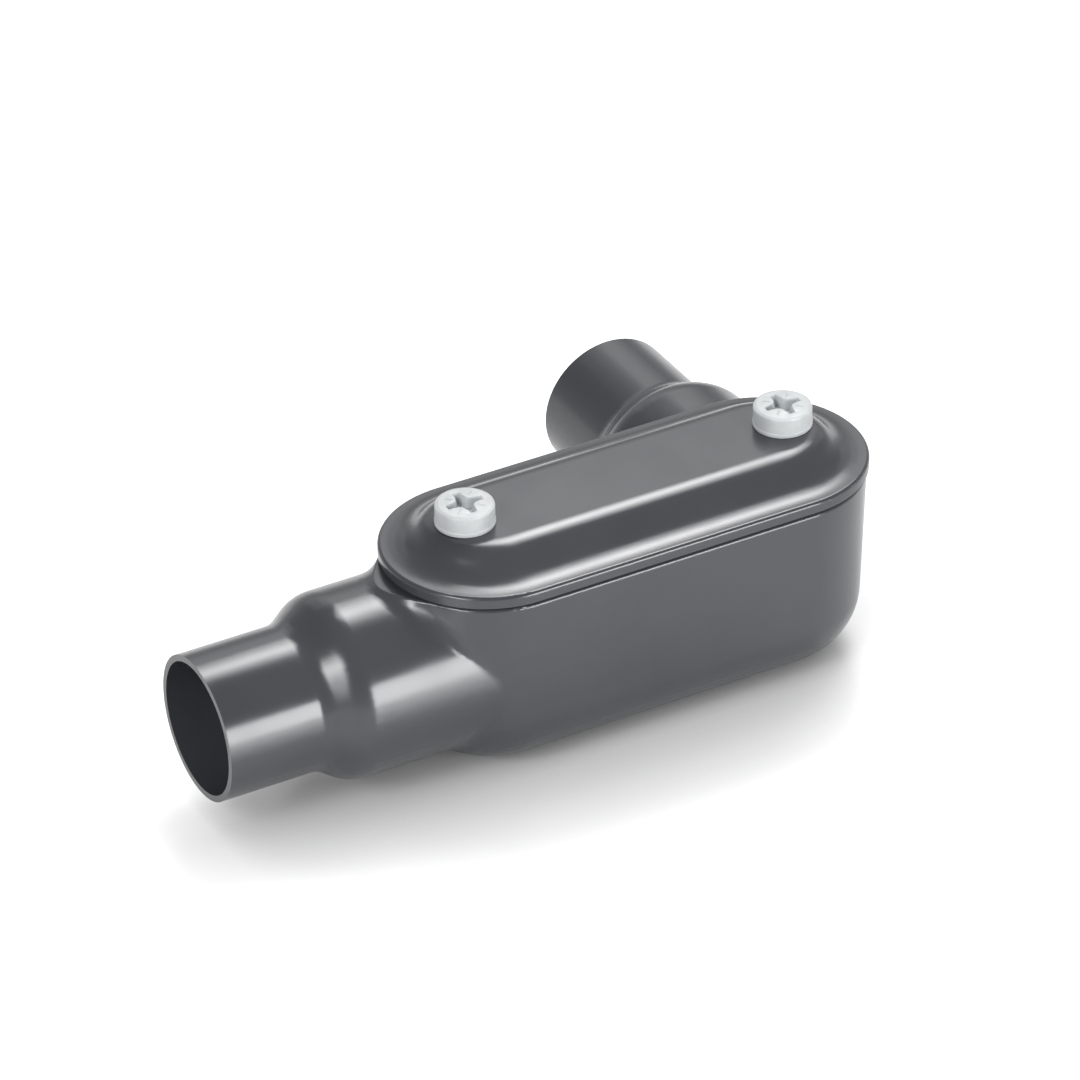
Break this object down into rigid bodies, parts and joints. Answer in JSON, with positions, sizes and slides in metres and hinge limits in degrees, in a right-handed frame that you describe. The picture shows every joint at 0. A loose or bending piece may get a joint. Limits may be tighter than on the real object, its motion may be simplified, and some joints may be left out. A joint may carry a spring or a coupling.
{
  "type": "conduit body",
  "caption": "Hollow side-outlet conduit body with sleeved hubs, a domed gasketed cover and capped cover screws.",
  "frame": {"origin": "middle of the flat back of the body, on the plane that it rests on", "axes": "X along the run with the run hub towards -X, +Y towards the side hub, +Z towards the cover"},
  "size_m": [0.1565, 0.0905, 0.0575],
  "materials": {
    "body_coat": "cast iron in a bonded dark grey glossy PVC coat, lacquered iron inside",
    "gasket_rubber": "matt black neoprene",
    "cover_coat": "pressed steel in a bonded dark grey glossy PVC coat",
    "screw_steel": "plain stainless steel",
    "cap_plastic": "pale grey-white moulded plastic, satin"
  },
  "bodies": {
    "housing": {"body": "body_coat", "gasket": "gasket_rubber"},
    "lid": {"cover": "cover_coat"},
    "screw_left": {"cover_screw_1": "screw_steel", "screw_cap_1": "cap_plastic"},
    "screw_right": {"cover_screw_2": "screw_steel", "screw_cap_2": "cap_plastic"}
  },
  "joints": [
    {"name": "cover_lift", "type": "slide", "parent": "housing", "child": "lid", "axis": [0, 0, 1], "range_m": [0, 0.03]},
    {"name": "screw_left_turn", "type": "hinge", "parent": "lid", "child": "screw_left", "pos_m": [-0.038, 0, 0.0527], "axis": [0, 0, 1], "continuous": true},
    {"name": "screw_right_turn", "type": "hinge", "parent": "lid", "child": "screw_right", "pos_m": [0.038, 0, 0.0527], "axis": [0, 0, 1], "continuous": true}
  ]
}
